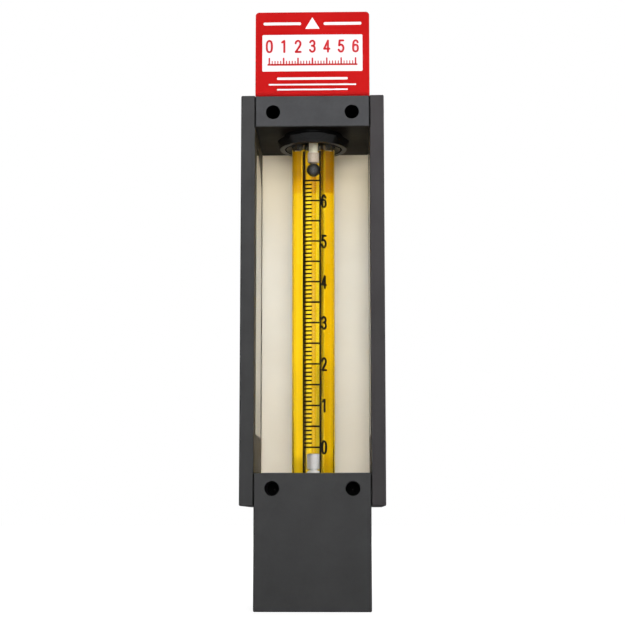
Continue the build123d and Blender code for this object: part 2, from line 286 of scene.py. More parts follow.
# rules and ticks, fired on the front of the tube
v_, f_ = [], []
P0, P1 = 5.168, 5.192
curved_bar(v_, f_, LINE_L - LINE_L_W / 2, LINE_L + LINE_L_W / 2, LINE_Z0, LINE_Z1, P0, P1, 0.12)
curved_bar(v_, f_, LINE_R - LINE_R_W / 2, LINE_R + LINE_R_W / 2, LINE_Z0, LINE_Z1, P0, P1, 0.12)
for k in range(0, 66):
    z = SCALE_Z0 + SCALE_STEP * k / 10
    long = k % 5 == 0
    x1 = LINE_R if long else SHORT_X1
    t = TICK_T * (1.06 if long else 1.0)
    curved_bar(v_, f_, LINE_L, x1, z - t / 2, z + t / 2, P0 + 0.002, P1 - 0.004, 0.22)
rules = make_object("scale_rules_and_ticks", v_, f_)
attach(rules, "housing")

# numerals 0 to 6 at the right of the scale
v_, f_ = [], []


def tube_place(u, v, side):
    p = on_tube(u, (P0 + 0.003, P1 - 0.002)[side])
    return (p[0], p[1], v)


for n in range(7):
    z = SCALE_Z0 + SCALE_STEP * n
    xc, w = (NUM_X0 + NUM_X1) / 2, NUM_X1 - NUM_X0
    field = numeral_field(n, xc, z, w, NUM_H, NUM_STROKE)
    field_shell(v_, f_, field, NUM_X0 - 0.1, NUM_X1 + 0.1, z - NUM_H / 2 - 0.1, z + NUM_H / 2 + 0.1, 0.06, tube_place)
numerals = make_object("scale_numerals", v_, f_)
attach(numerals, "housing")

# ---- tag print: a white field with a plain ruled scale, and plain marks -----------
PANEL_X, PANEL_Z0, PANEL_Z1 = 12.20, 129.57, 138.75


def rounded_box(cx, cz, hx, hz, r):
    def field(u, v):
        qx, qz = abs(u - cx) - hx + r, abs(v - cz) - hz + r
        return math.hypot(max(qx, 0), max(qz, 0)) + min(max(qx, qz), 0) - r

    return field


def triangle(cx, z0, z1, half):
    s = (z1 - z0) / half
    k = 1 / math.sqrt(1 + s * s)

    def field(u, v):
        return max(z0 - v, (abs(u - cx) * s + v - z1) * k)

    return field


def union(*fields):
    return lambda u, v: min(g(u, v) for g in fields)


def tag_place(y0, y1):
    return lambda u, v, side: (u, (y0, y1)[side], v)


v_, f_ = [], []
pc = (PANEL_Z0 + PANEL_Z1) / 2
field_shell(
    v_, f_, rounded_box(0, pc, PANEL_X, (PANEL_Z1 - PANEL_Z0) / 2, 0.12), -12.4, 12.4, PANEL_Z0 - 0.2, PANEL_Z1 + 0.2, 0.2,
    tag_place(TAG_Y + 0.01, TAG_Y - 0.022),
)
# plain marks above and below the panel
for field, box_, h in (
    (triangle(0, 140.25, 143.15, 1.75), (-2.1, 2.1, 140.0, 143.4), 0.07),
    (rounded_box(-7.35, 141.55, 4.60, 0.36, 0.34), (-12.2, -2.5, 141.0, 142.1), 0.07),
    (rounded_box(7.35, 141.55, 4.60, 0.36, 0.34), (2.5, 12.2, 141.0, 142.1), 0.07),
    (rounded_box(0, 127.75, 8.60, 0.30, 0.28), (-8.8, 8.8, 127.3, 128.2), 0.07),
    (rounded_box(0, 126.25, 10.60, 0.18, 0.17), (-10.9, 10.9, 125.9, 126.6), 0.06),
    (rounded_box(0, 125.00, 8.60, 0.18, 0.17), (-8.9, 8.9, 124.6, 125.4), 0.06),
):
    field_shell(v_, f_, field, *box_, h, tag_place(TAG_Y + 0.01, TAG_Y - 0.022))
tag_white = make_object("tag_white_print", v_, f_)
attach(tag_white, "housing")

v_, f_ = [], []
place = tag_place(TAG_Y - 0.020, TAG_Y - 0.040)
RULE_Z = 131.25
fields = [(rounded_box(0, RULE_Z, 10.95, 0.22, 0.05), (-11.1, 11.1, RULE_Z - 0.4, RULE_Z + 0.4))]
for k in range(0, 31):
    x = -10.5 + 0.7 * k
    tall = 1.75 if k % 5 == 0 else 1.0
    wide = 0.19 if k % 5 == 0 else 0.13
    fields.append((rounded_box(x, RULE_Z + tall / 2, wide, tall / 2, 0.04), (x - 0.3, x + 0.3, RULE_Z - 0.2, RULE_Z + tall + 0.2)))
for g, b in fields:
    field_shell(v_, f_, g, *b, 0.09, place)
for n in range(7):
    x, z = -10.5 + 3.5 * n, 135.85
    g = numeral_field(n, x, z, 1.75, 3.3, 0.50)
    field_shell(v_, f_, g, x - 1.0, x + 1.0, z - 1.8, z + 1.8, 0.08, place)
tag_scale = make_object("tag_ruled_scale", v_, f_)
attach(tag_scale, "housing")


# ---- rear adapters with real threads ------------------------------------------------
def adapter(name, zc):
    """One closed surface about the line along Y at height zc. A station is (radius function of the angle, y)."""
    st = []

    def plain(r):
        return lambda a: r

    def hexed(limit):
        ap = 12.70 / 2

        def r(a):
            d = math.degrees(a) % 60.0
            return min(limit, ap / math.cos(math.radians(d - 30)))

        return r

    def threaded(r, depth, pitch, y, w):
        def f(a):
            ph = (y / pitch - a / (2 * math.pi)) % 1.0
            tri = abs(2 * ph - 1)
            tri = min(1.0, max(0.0, (tri - 0.08) / 0.80))
            return r - depth * w * tri

        return f

    st.append((plain(2.10), 12.80))
    st.append((plain(4.35), 12.80))
    st.append((plain(4.75), 13.20))
    st.append((plain(4.75), 19.00))
    st.append((hexed(7.25), 19.00))
    st.append((hexed(7.25), 20.95))
    for k in range(1, 6):
        st.append((hexed(7.25 - 0.85 * k / 5), 21.0 + 0.5 * k / 5))
    st.append((plain(5.45), 21.50))
    st.append((plain(5.45), 21.95))
    pitch = 0.94
    y = 22.05
    while y < 32.35:
        w = min(1.0, (y - 22.0) / 0.5)
        st.append((threaded(5.90, 0.46, pitch, y, w), y))
        y += pitch / 9
    st.append((plain(5.44), 32.62))
    st.append((plain(5.30), 33.00))
    st.append((plain(4.83), 33.00))
    y = 32.52
    while y > 25.1:
        w = -min(1.0, (y - 25.0) / 0.8, (32.6 - y) / 0.25)
        taper = (y - 25.0) / 7.5
        st.append((threaded(4.33 + 0.10 * taper, 0.40, pitch, y, w), y))
        y -= pitch / 8
    st.append((plain(4.33), 24.95))
    st.append((plain(2.10), 23.80))
    seg = 120
    verts, faces = [], []
    n = len(st)
    for k in range(seg):
        a = 2 * math.pi * k / seg
        for f, yy in st:
            r = f(a)
            verts.append((r * math.cos(a), yy, zc + r * math.sin(a)))
    for k in range(seg):
        k2 = (k + 1) % seg
        for i in range(n):
            j = (i + 1) % n
            faces.append((k * n + i, k * n + j, k2 * n + j, k2 * n + i))
    return make_object(name, verts, faces, smooth=28)


for nm, zc in (("inlet", INLET_Z), ("outlet", OUTLET_Z)):
    ob = adapter(nm + "_adapter_threaded", zc)
    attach(ob, "housing")
    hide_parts(nm + "_adapter")


# ==============================================================================
# materials
# ==============================================================================
class Mat:
    """A little help with shader nodes."""

    def __init__(self, name):
        self.m = bpy.data.materials.new(name)
        self.m.use_nodes = True
        self.nt = self.m.node_tree
        self.nt.nodes.clear()
        self.out = self.nt.nodes.new("ShaderNodeOutputMaterial")
        self.bsdf = self.nt.nodes.new("ShaderNodeBsdfPrincipled")
        self.link(self.bsdf.outputs[0], self.out.inputs[0])
        self.co = self.nt.nodes.new("ShaderNodeTexCoord").outputs["Object"]

    def link(self, a, b):
        self.nt.links.new(a, b)

    def set(self, **kw):
        for k, v in kw.items():
            self.bsdf.inputs[k.replace("_", " ")].default_value = v
        return self

    def scaled(self, sx, sy, sz):
        n = self.nt.nodes.new("ShaderNodeMapping")
        n.inputs["Scale"].default_value = (sx, sy, sz)
        self.link(self.co, n.inputs["Vector"])
        return n.outputs[0]

    def noise(self, scale, detail=3.0, rough=0.5, vec=None, distortion=0.0):
        n = self.nt.nodes.new("ShaderNodeTexNoise")
        n.inputs["Scale"].default_value = scale
        n.inputs["Detail"].default_value = detail
        n.inputs["Roughness"].default_value = rough
        n.inputs["Distortion"].default_value = distortion
        self.link(vec if vec is not None else self.co, n.inputs["Vector"])
        return n.outputs["Fac"]

    def math(self, op, a, b=None, c=None, clamp=False):
        n = self.nt.nodes.new("ShaderNodeMath")
        n.operation = op
        n.use_clamp = clamp
        for i, x in enumerate((a, b, c)):
            if x is None:
                continue
            if isinstance(x, (int, float)):
                n.inputs[i].default_value = x
            else:
                self.link(x, n.inputs[i])
        return n.outputs[0]

    def ramp(self, fac, stops, mode="LINEAR"):
        n = self.nt.nodes.new("ShaderNodeValToRGB")
        n.color_ramp.interpolation = mode
        e = n.color_ramp.elements
        while len(e) < len(stops):
            e.new(0.5)
        for i, (p, c) in enumerate(stops):
            e[i].position = p
            e[i].color = (*c, 1.0) if len(c) == 3 else c
        self.link(fac, n.inputs["Fac"])
        return n.outputs["Color"]

    def remap(self, x, a0, a1, b0, b1, smooth=False):
        n = self.nt.nodes.new("ShaderNodeMapRange")
        n.interpolation_type = "SMOOTHSTEP" if smooth else "LINEAR"
        for s, v in zip(("From Min", "From Max", "To Min", "To Max"), (a0, a1, b0, b1)):
            n.inputs[s].default_value = v
        self.link(x, n.inputs["Value"])
        return n.outputs["Result"]

    def mix(self, fac, a, b):
        n = self.nt.nodes.new("ShaderNodeMix")
        n.data_type = "RGBA"
        n.clamp_factor = True
        if isinstance(fac, (int, float)):
            n.inputs["Factor"].default_value = fac
        else:
            self.link(fac, n.inputs["Factor"])
        for s, v in (("A", a), ("B", b)):
            sock = [i for i in n.inputs if i.name == s and i.type == "RGBA"][0]
            if isinstance(v, tuple):
                sock.default_value = (*v, 1.0)
            else:
                self.link(v, sock)
        return [o for o in n.outputs if o.type == "RGBA"][0]

    def xyz(self):
        n = self.nt.nodes.new("ShaderNodeSeparateXYZ")
        self.link(self.co, n.inputs[0])
        return n.outputs[0], n.outputs[1], n.outputs[2]

    def bump(self, height, distance, strength=1.0, after=None):
        n = self.nt.nodes.new("ShaderNodeBump")
        n.inputs["Strength"].default_value = strength
        n.inputs["Distance"].default_value = distance
        self.link(height, n.inputs["Height"])
        if after is not None:
            self.link(after, n.inputs["Normal"])
        self.link(n.outputs[0], self.bsdf.inputs["Normal"])
        return n.outputs[0]

    def color(self, c):
        self.link(c, self.bsdf.inputs["Base Color"])
        return self

    def rough(self, r):
        self.link(r, self.bsdf.inputs["Roughness"])
        return self


def between(m, x, lo, hi, soft):
    """1 where lo < x < hi, with soft edges, all in metres."""
    a = m.remap(x, lo - soft, lo + soft, 0.0, 1.0, True)
    b = m.remap(x, hi - soft, hi + soft, 1.0, 0.0, True)
    return m.math("MULTIPLY", a, b)


def anodised(name, low, high, rough=(0.50, 0.62), holes=False, inner=False, painted_height_shade=None, under=False, shine=0.22):
    m = Mat(name)
    m.set(Metallic=0.0, IOR=1.5, Specular_IOR_Level=shine)
    cloud = m.noise(160.0, 4.0, 0.55)
    grain = m.noise(5200.0, 2.0, 0.6)
    fine = m.noise(1500.0, 3.0, 0.6)
    mixed = m.math("ADD", m.math("MULTIPLY", cloud, 0.55), m.math("ADD", m.math("MULTIPLY", grain, 0.25), m.math("MULTIPLY", fine, 0.20)))
    col = m.ramp(mixed, [(0.34, low), (0.66, high)])
    r = m.remap(mixed, 0.35, 0.65, rough[0], rough[1])
    if painted_height_shade:
        # painted shade, darker towards the lower end as light falls from above: (z, z, part kept at the first)
        zf = m.xyz()[2]
        col = m.mix(m.remap(zf, painted_height_shade[0], painted_height_shade[1], 1.0 - painted_height_shade[2], 0.0), col, (0.0, 0.0, 0.0))
    if under:
        # painted shade on the underside above the opening, warm from light bounced off the back plate
        zu = m.xyz()[2]
        yu = m.xyz()[1]
        under_shade_mask = m.math("MULTIPLY", m.remap(zu, 0.11584, 0.11588, 1.0, 0.0), m.remap(yu, -0.0189, -0.0187, 0.0, 1.0))
        col = m.mix(under_shade_mask, col, (0.0235, 0.0200, 0.0160))
    if holes:
        # painted shade inside the tapped holes
        x, y, z = m.xyz()
        ax = m.math("SUBTRACT", m.math("ABSOLUTE", x), 0.009525)
        d1 = m.math("SUBTRACT", z, 0.0286)
        d2 = m.math("SUBTRACT", z, 0.1194)
        dz = m.math("MINIMUM", m.math("ABSOLUTE", d1), m.math("ABSOLUTE", d2))
        dist = m.math("SQRT", m.math("ADD", m.math("MULTIPLY", ax, ax), m.math("MULTIPLY", dz, dz)))
        in_r = m.remap(dist, 0.00178, 0.00181, 1.0, 0.0)
        in_y = m.remap(y, -0.01895, -0.0188, 0.0, 1.0)
        in_y2 = m.remap(y, -0.0062, -0.0060, 1.0, 0.0)
        inside = m.math("MULTIPLY", m.math("MULTIPLY", in_r, in_y), in_y2)
        col = m.mix(inside, col, (0.004, 0.004, 0.0042))
    if inner:
        # the faces beside the opening are milled smoother than the outside, carry painted warm bounce light, and a
        # painted reflection of the back plate along a strip
        x, y, z = m.xyz()
        face = m.remap(m.math("ABSOLUTE", x), 0.01388, 0.01392, 1.0, 0.0)
        tip = m.remap(z, 0.1035, 0.1130, 0.0, 1.0)
        back = m.math("ADD", y, m.math("MULTIPLY", m.math("MULTIPLY", tip, tip), 0.0140))
        along = m.math("MULTIPLY", between(m, z, 0.0417, 0.1128, 0.0004), m.remap(back, 0.0066, 0.0072, 1.0, 0.0))
        along = m.math("MULTIPLY", along, m.remap(y, -0.0132, -0.0122, 0.0, 1.0))
        smooth_strip_painted_reflection = m.math("MULTIPLY", face, along)
        smooth_r = m.remap(mixed, 0.35, 0.65, 0.030, 0.050)
        mixr = m.nt.nodes.new("ShaderNodeMix")
        mixr.data_type = "FLOAT"
        m.link(smooth_strip_painted_reflection, mixr.inputs[0])
        m.link(r, mixr.inputs[2])
        m.link(smooth_r, mixr.inputs[3])
        r = mixr.outputs[0]
        # painted warm bounce light on the inner faces
        col = m.mix(face, col, (0.090, 0.074, 0.047))
        # painted reflection of the back plate on the smooth strip
        col = m.mix(smooth_strip_painted_reflection, col, (0.190, 0.165, 0.108))
        calm = m.math("SUBTRACT", 1.0, smooth_strip_painted_reflection)
        grain, fine = m.math("MULTIPLY", grain, calm), m.math("MULTIPLY", fine, calm)
    if holes or inner:
        # painted shade along the joint between the blocks and the rails
        x, y, z = m.xyz()
        off = m.math("ABSOLUTE", x)
        if holes:
            seam_shade = m.remap(off, 0.01364, 0.01372, 0.0, 1.0)
        else:
            beside = m.math("SUBTRACT", 1.0, between(m, z, 0.0325, 0.1156, 0.0002))
            seam_shade = m.math("MULTIPLY", m.remap(off, 0.01401, 0.01409, 1.0, 0.0), beside)
        seam_shade = m.math("MULTIPLY", seam_shade, m.remap(y, -0.0186, -0.0182, 0.94, 0.0))
        col = m.mix(seam_shade, col, (0.0030, 0.0030, 0.0030))
    m.color(col).rough(r)
    b = m.bump(grain, 0.000012, 0.55)
    m.bump(fine, 0.000018, 0.35, after=b)
    return m.m


def metal(name, low, high, rough, lines=None, metallic=1.0):
    """Metal with tool marks; lines names the axis that the marks run across."""
    m = Mat(name)
    m.set(Metallic=metallic, IOR=1.5)
    across = {"x": (6000, 30, 30), "y": (30, 6000, 30), "z": (30, 30, 6000), None: (900, 900, 900)}[lines]
    marks = m.noise(1.0, 3.0, 0.6, vec=m.scaled(*across))
    cloud = m.noise(420.0, 3.0, 0.5)
    mixed = m.math("ADD", m.math("MULTIPLY", marks, 0.6), m.math("MULTIPLY", cloud, 0.4))
    m.color(m.ramp(mixed, [(0.35, low), (0.65, high)]))
    m.rough(m.remap(mixed, 0.35, 0.65, rough[0], rough[1]))
    m.bump(marks, 0.000006, 0.5)
    return m.m


def plain_plastic(name, low, high, rough, grain=2600.0, bump=0.000010, coat=0.0, shine=0.5):
    m = Mat(name)
    m.set(Metallic=0.0, IOR=1.49, Coat_Weight=coat, Coat_Roughness=0.12, Specular_IOR_Level=shine)
    cloud = m.noise(140.0, 3.0, 0.5)
    fine = m.noise(grain, 3.0, 0.6)
    mixed = m.math("ADD", m.math("MULTIPLY", cloud, 0.6), m.math("MULTIPLY", fine, 0.4))
    m.color(m.ramp(mixed, [(0.35, low), (0.65, high)]))
    m.rough(m.remap(mixed, 0.35, 0.65, rough[0], rough[1]))
    m.bump(fine, bump, 0.5)
    return m.m


def cream_plate():
    m = Mat("cream_back_plate")
    m.set(Metallic=0.0, IOR=1.49)
    cloud = m.noise(60.0, 3.0, 0.5)
    fine = m.noise(2400.0, 3.0, 0.6)
    x, y, z = m.xyz()
    # painted shade: the plate is a little darker and yellower low down
    low_shade = m.remap(z, 0.030, 0.075, 1.0, 0.0, True)      # a little yellower low down
    base = m.ramp(cloud, [(0.30, (0.775, 0.735, 0.635)), (0.70, (0.835, 0.800, 0.705))])
    col = m.mix(m.math("MULTIPLY", low_shade, 0.75), base, (0.78, 0.70, 0.56))
    # painted shade near the top, tinted by light bounced off the plate and coat
    warm = m.remap(z, 0.084, 0.116, 0.0, 1.0, True)
    col = m.mix(warm, col, (0.79, 0.690, 0.500))
    top_painted_light = m.remap(z, 0.1095, 0.1138, 0.0, 1.0, True)   # painted light, brighter in the last few millimetres under the top block
    col = m.mix(top_painted_light, col, (0.95, 0.840, 0.640))
    m.color(col)
    m.rough(m.remap(fine, 0.35, 0.65, 0.36, 0.46))
    m.bump(fine, 0.000008, 0.4)
    return m.m


def clear_glass():
    m = Mat("clear_drawn_glass")
    m.set(Base_Color=(0.985, 0.995, 0.985, 1.0), Metallic=0.0, IOR=1.47, Transmission_Weight=1.0)
    # faint drawing lines along the tube
    lines = m.noise(1.0, 2.0, 0.5, vec=m.scaled(900, 900, 6))
    m.rough(m.remap(lines, 0.3, 0.7, 0.0, 0.03))
    m.bump(lines, 0.0000025, 0.35)
    # lamps shine through the tube onto what is in and behind it
    clear = m.nt.nodes.new("ShaderNodeBsdfTransparent")
    path = m.nt.nodes.new("ShaderNodeLightPath")
    mixs = m.nt.nodes.new("ShaderNodeMixShader")
    m.link(path.outputs["Is Shadow Ray"], mixs.inputs[0])
    m.link(m.bsdf.outputs[0], mixs.inputs[1])
    m.link(clear.outputs[0], mixs.inputs[2])
    m.link(mixs.outputs[0], m.out.inputs[0])
    return m.m


def yellow_coat(name, outside):
    m = Mat(name)
    m.set(Metallic=0.0, IOR=1.5, Specular_IOR_Level=0.5 if outside else 0.0)
    x, y, z = m.xyz()
    cloud = m.noise(220.0, 3.0, 0.5)
    streak = m.noise(1.0, 3.0, 0.55, vec=m.scaled(1500, 1500, 25))
    mixed = m.math("ADD", m.math("MULTIPLY", cloud, 0.5), m.math("MULTIPLY", streak, 0.5))
    col = m.ramp(mixed, [(0.33, (0.618, 0.345, 0.0006)), (0.67, (0.668, 0.392, 0.0012))])
    # painted shadow of the nut and top block at the coat's upper end, deeper orange and darker on the right
    wob = m.math("MULTIPLY", m.math("SUBTRACT", cloud, 0.5), 0.0012)
    zz = m.math("ADD", z, wob)
    dark = m.remap(zz, 0.1013, 0.1019, 0.0, 1.0, True)
    amber_shadow = m.mix(m.remap(x, -0.0008, 0.0008, 0.0, 1.0), (0.575, 0.275, 0.0003), (0.405, 0.172, 0.0003))
    col = m.mix(dark, col, amber_shadow)
    # painted light: the coat is paler away from the middle, less so inside the painted shadow at the top
    side = m.remap(m.math("ABSOLUTE", x), 0.0008, 0.0018, 0.0, 1.0, True)
    low = m.remap(zz, 0.1000, 0.1040, 1.0, 0.35, True)
    col = m.mix(m.math("MULTIPLY", side, low), col, (0.960, 0.680, 0.022))
    m.color(col)
    m.rough(m.remap(mixed, 0.35, 0.65, 0.30, 0.42))
    m.bump(streak, 0.000004, 0.4)
    return m.m


def enamel(name, low, high, rough=(0.22, 0.30), coat=0.5, shine=0.5):
    m = Mat(name)
    m.set(Metallic=0.0, IOR=1.5, Coat_Weight=coat, Coat_Roughness=0.10, Specular_IOR_Level=shine)
    peel = m.noise(620.0, 2.0, 0.5)
    cloud = m.noise(90.0, 3.0, 0.5)
    mixed = m.math("ADD", m.math("MULTIPLY", cloud, 0.7), m.math("MULTIPLY", peel, 0.3))
    m.color(m.ramp(mixed, [(0.35, low), (0.65, high)]))
    m.rough(m.remap(mixed, 0.35, 0.65, rough[0], rough[1]))
    m.bump(peel, 0.000010, 0.25)
    return m.m


def shade_free(mat, part=1.0):
    """Lets shadow rays through in part, as real glass bends light around what stands in the tube."""
    nt = mat.node_tree
    out = [n for n in nt.nodes if n.type == "OUTPUT_MATERIAL"][0]
    bsdf = [n for n in nt.nodes if n.type == "BSDF_PRINCIPLED"][0]
    clear = nt.nodes.new("ShaderNodeBsdfTransparent")
    path = nt.nodes.new("ShaderNodeLightPath")
    mixs = nt.nodes.new("ShaderNodeMixShader")
    share = nt.nodes.new("ShaderNodeMath")
    share.operation = "MULTIPLY"
    share.inputs[1].default_value = part
    nt.links.new(path.outputs["Is Shadow Ray"], share.inputs[0])
    nt.links.new(share.outputs[0], mixs.inputs[0])
    nt.links.new(bsdf.outputs[0], mixs.inputs[1])
    nt.links.new(clear.outputs[0], mixs.inputs[2])
    nt.links.new(mixs.outputs[0], out.inputs[0])
    return mat


def dark_ball():
    """Dark ball with a painted highlight, paler where it faces the reader."""
    m = Mat("dark_ball")
    m.set(Metallic=0.0, IOR=1.49, Specular_IOR_Level=0.5)
    cloud = m.noise(140.0, 3.0, 0.5)
    fine = m.noise(3800.0, 3.0, 0.6)
    mixed = m.math("ADD", m.math("MULTIPLY", cloud, 0.6), m.math("MULTIPLY", fine, 0.4))
    weight = m.nt.nodes.new("ShaderNodeLayerWeight")
    highlight_falloff = m.remap(weight.outputs["Facing"], 0.0, 0.34, 0.0, 1.0)
    pale = m.ramp(mixed, [(0.35, (0.055, 0.055, 0.055)), (0.65, (0.078, 0.078, 0.078))])
    m.color(m.mix(highlight_falloff, pale, (0.0085, 0.0085, 0.0085)))
    m.rough(m.remap(mixed, 0.35, 0.65, 0.36, 0.44))
    m.bump(fine, 0.000004, 0.5)
    return m.m


def nut_plastic():
    """Black moulding, satin on its flats and dull on the lower face."""
    m = Mat("black_moulded_nut")
    m.set(Metallic=0.0, IOR=1.49, Specular_IOR_Level=1.0)
    cloud = m.noise(140.0, 3.0, 0.5)
    fine = m.noise(1800.0, 3.0, 0.6)
    mixed = m.math("ADD", m.math("MULTIPLY", cloud, 0.6), m.math("MULTIPLY", fine, 0.4))
    z = m.xyz()[2]
    dull = m.remap(z, 0.11238, 0.11244, 1.0, 0.0)
    m.color(m.mix(dull, m.ramp(mixed, [(0.35, (0.0016, 0.0016, 0.0016)), (0.65, (0.0032, 0.0032, 0.0034))]), (0.0060, 0.0060, 0.0058)))
    r = m.remap(mixed, 0.35, 0.65, 0.20, 0.26)
    m.rough(m.math("ADD", r, m.math("MULTIPLY", dull, 0.30), clamp=True))
    m.bump(fine, 0.000012, 0.5)
    return m.m


def two_tone_stop():
    """Cream above, with a greyer beige collar at the lower end."""
    m = Mat("cream_and_beige_stop")
    m.set(Metallic=0.0, IOR=1.49)
    fine = m.noise(3200.0, 3.0, 0.6)
    x, y, z = m.xyz()
    upper = m.remap(z, 0.11088, 0.11102, 0.0, 1.0, True)
    collar = m.ramp(fine, [(0.35, (0.400, 0.325, 0.255)), (0.65, (0.460, 0.380, 0.300))])
    stem = m.ramp(fine, [(0.35, (0.72, 0.67, 0.50)), (0.65, (0.80, 0.75, 0.58))])
    m.color(m.mix(upper, collar, stem))
    m.rough(m.remap(fine, 0.35, 0.65, 0.34, 0.46))
    m.bump(fine, 0.000006, 0.5)
    return m.m


MATERIALS = {
    # the top block is a lighter grey than the bottom block: painted light falling from above
    "block_top": anodised("grey_anodised_top", (0.0450, 0.0455, 0.0478), (0.0600, 0.0606, 0.0636), holes=True, under=True, shine=0.06),
    "block": anodised("grey_anodised_block", (0.0350, 0.0350, 0.0355), (0.0470, 0.0470, 0.0480), holes=True, painted_height_shade=(0.0, 0.032, 0.86)),
    "rail_l": anodised("grey_anodised_rail", (0.0380, 0.0380, 0.0386), (0.0505, 0.0505, 0.0514), inner=True, painted_height_shade=(0.024, 0.124, 0.80), shine=0.40),
    "rail_r": anodised("grey_anodised_rail_right", (0.0385, 0.0356, 0.0370), (0.0505, 0.0472, 0.0490), inner=True, painted_height_shade=(0.024, 0.100, 0.82), shine=0.40),
    "screw": metal("black_oxide_steel", (0.020, 0.020, 0.021), (0.045, 0.045, 0.048), (0.30, 0.42), None),
    "plate": cream_plate(),
    "glass": clear_glass(),
    "coat": yellow_coat("fired_yellow_coat_at_glass", False),
    "coat_out": yellow_coat("fired_yellow_coat", True),
    "print": shade_free(plain_plastic("fired_black_print", (0.0030, 0.0026, 0.0022), (0.0070, 0.0064, 0.0056), (0.42, 0.55), 3500.0, 0.000004, shine=0.12)),
    "ball": shade_free(dark_ball(), 0.5),
    "stop": shade_free(plain_plastic("white_stop", (0.70, 0.67, 0.66), (0.78, 0.75, 0.74), (0.30, 0.42), 3200.0, 0.000006), 0.65),
    "stop_up": shade_free(two_tone_stop(), 0.65),
    "rubber": plain_plastic("black_rubber", (0.012, 0.012, 0.012), (0.024, 0.024, 0.024), (0.60, 0.78), 2200.0, 0.000016),
    "nut": nut_plastic(),
    "stainless": metal("turned_stainless", (0.50, 0.49, 0.47), (0.68, 0.67, 0.65), (0.20, 0.32), "y"),
    "steel": metal("plated_steel", (0.48, 0.47, 0.46), (0.66, 0.65, 0.63), (0.22, 0.34), "z"),
    "tag": enamel("red_enamel", (0.368, 0.0072, 0.0072), (0.408, 0.0092, 0.0092), (0.12, 0.16), 0.05, 0.18),
    "tag_white": enamel("white_enamel", (0.66, 0.65, 0.66), (0.72, 0.71, 0.72), (0.28, 0.36), 0.2),
    "tag_red": enamel("red_print", (0.42, 0.0065, 0.009), (0.47, 0.0090, 0.012), (0.30, 0.38), 0.1),
}

NODE_MATERIAL = {
    "bottom_block": "block",
    "top_block": "block_top",
    "left_side_rail": "rail_l",
    "right_side_rail": "rail_r",
    "rail_screws": "screw",
    "back_plate": "plate",
    "metering_tube": "glass",
    "ball_float": "ball",
    "lower_float_stop": "stop",
    "upper_float_stop": "stop_up",
    "lower_tube_gasket": "rubber",
    "lower_tube_bush": "nut",
    "gland_nut": "nut",
    "packing_follower": "stainless",
    "upper_tube_packing": "rubber",
    "inlet_adapter": "stainless",
    "inlet_seal_ring": "rubber",
    "outlet_adapter": "stainless",
    "outlet_seal_ring": "rubber",
    "name_tag": "tag",
    "name_tag_screws": "steel",
}


def paint(ob, key):
    ob.data.materials.clear()
    ob.data.materials.append(MATERIALS[key])


for n, key in NODE_MATERIAL.items():
    paint(nodes[n], key)
paint(glass, "glass")
paint(coat, "coat")
coat.data.materials.append(MATERIALS["coat_out"])
for p_ in coat.data.polygons:
    c_ = p_.center
    if math.hypot(c_.x, c_.y - AXIS_Y * MM) > (COAT_R0 + 0.004) * MM:
        p_.material_index = 1
paint(rules, "print")
paint(numerals, "print")
paint(tag_white, "tag_white")
paint(tag_scale, "tag_red")
for nm in ("inlet", "outlet"):
    paint(bpy.data.objects[nm + "_adapter_threaded"], "stainless")


# ==============================================================================
# floor, light and camera
# ==============================================================================
bm = bmesh.new()
bmesh.ops.create_grid(bm, x_segments=8, y_segments=8, size=4.0)
me = bpy.data.meshes.new("floor")
bm.to_mesh(me)
bm.free()
floor = bpy.data.objects.new("floor", me)
bpy.context.scene.collection.objects.link(floor)
floor.location = (0, 0, -0.00002)
fm = Mat("pale_floor")
fm.set(Roughness=0.9, Specular_IOR_Level=0.0, Base_Color=(0.28, 0.28, 0.28, 1.0), Emission_Color=(1, 1, 1, 1))
# the floor rises to an even white a little way from the object
fx, fy, fz = fm.xyz()
far = fm.math("SQRT", fm.math("ADD", fm.math("MULTIPLY", fx, fx), fm.math("MULTIPLY", fy, fy)))
fpath = fm.nt.nodes.new("ShaderNodeLightPath")
seen = fm.math("MULTIPLY", fpath.outputs["Is Camera Ray"], fm.remap(far, 0.03, 0.22, 0.86, 0.98, True))
fm.link(fm.math("ADD", seen, 0.03), fm.bsdf.inputs["Emission Strength"])
geo = fm.nt.nodes.new("ShaderNodeNewGeometry")
tr = fm.nt.nodes.new("ShaderNodeBsdfTransparent")
ms = fm.nt.nodes.new("ShaderNodeMixShader")
fm.link(geo.outputs["Backfacing"], ms.inputs[0])
fm.link(fm.bsdf.outputs[0], ms.inputs[1])
fm.link(tr.outputs[0], ms.inputs[2])
fm.link(ms.outputs[0], fm.out.inputs[0])
floor.data.materials.append(fm.m)

ROOM = 0.13
world = bpy.data.worlds.new("studio")
bpy.context.scene.world = world
world.use_nodes = True
wn = world.node_tree
wn.nodes.clear()
w_out = wn.nodes.new("ShaderNodeOutputWorld")
w_see = wn.nodes.new("ShaderNodeBackground")      # what the camera sees behind the object
w_see.inputs["Color"].default_value = (1, 1, 1, 1)
w_see.inputs["Strength"].default_value = 1.0
w_lit = wn.nodes.new("ShaderNodeBackground")      # soft light of the room
w_lit.inputs["Color"].default_value = (0.98, 0.99, 1.0, 1)
w_lit.inputs["Strength"].default_value = ROOM
w_mir = wn.nodes.new("ShaderNodeBackground")      # what shiny parts mirror: the room is dark on the camera's side
w_mir.inputs["Color"].default_value = (0.98, 0.99, 1.0, 1)
w_dir = wn.nodes.new("ShaderNodeTexCoord")
w_xyz = wn.nodes.new("ShaderNodeSeparateXYZ")
wn.links.new(w_dir.outputs["Generated"], w_xyz.inputs[0])
w_map = wn.nodes.new("ShaderNodeMapRange")
w_map.interpolation_type = "SMOOTHSTEP"
for k_, v_in in zip(("From Min", "From Max", "To Min", "To Max"), (-0.55, 0.25, 0.02, 0.40)):
    w_map.inputs[k_].default_value = v_in
wn.links.new(w_xyz.outputs[1], w_map.inputs["Value"])


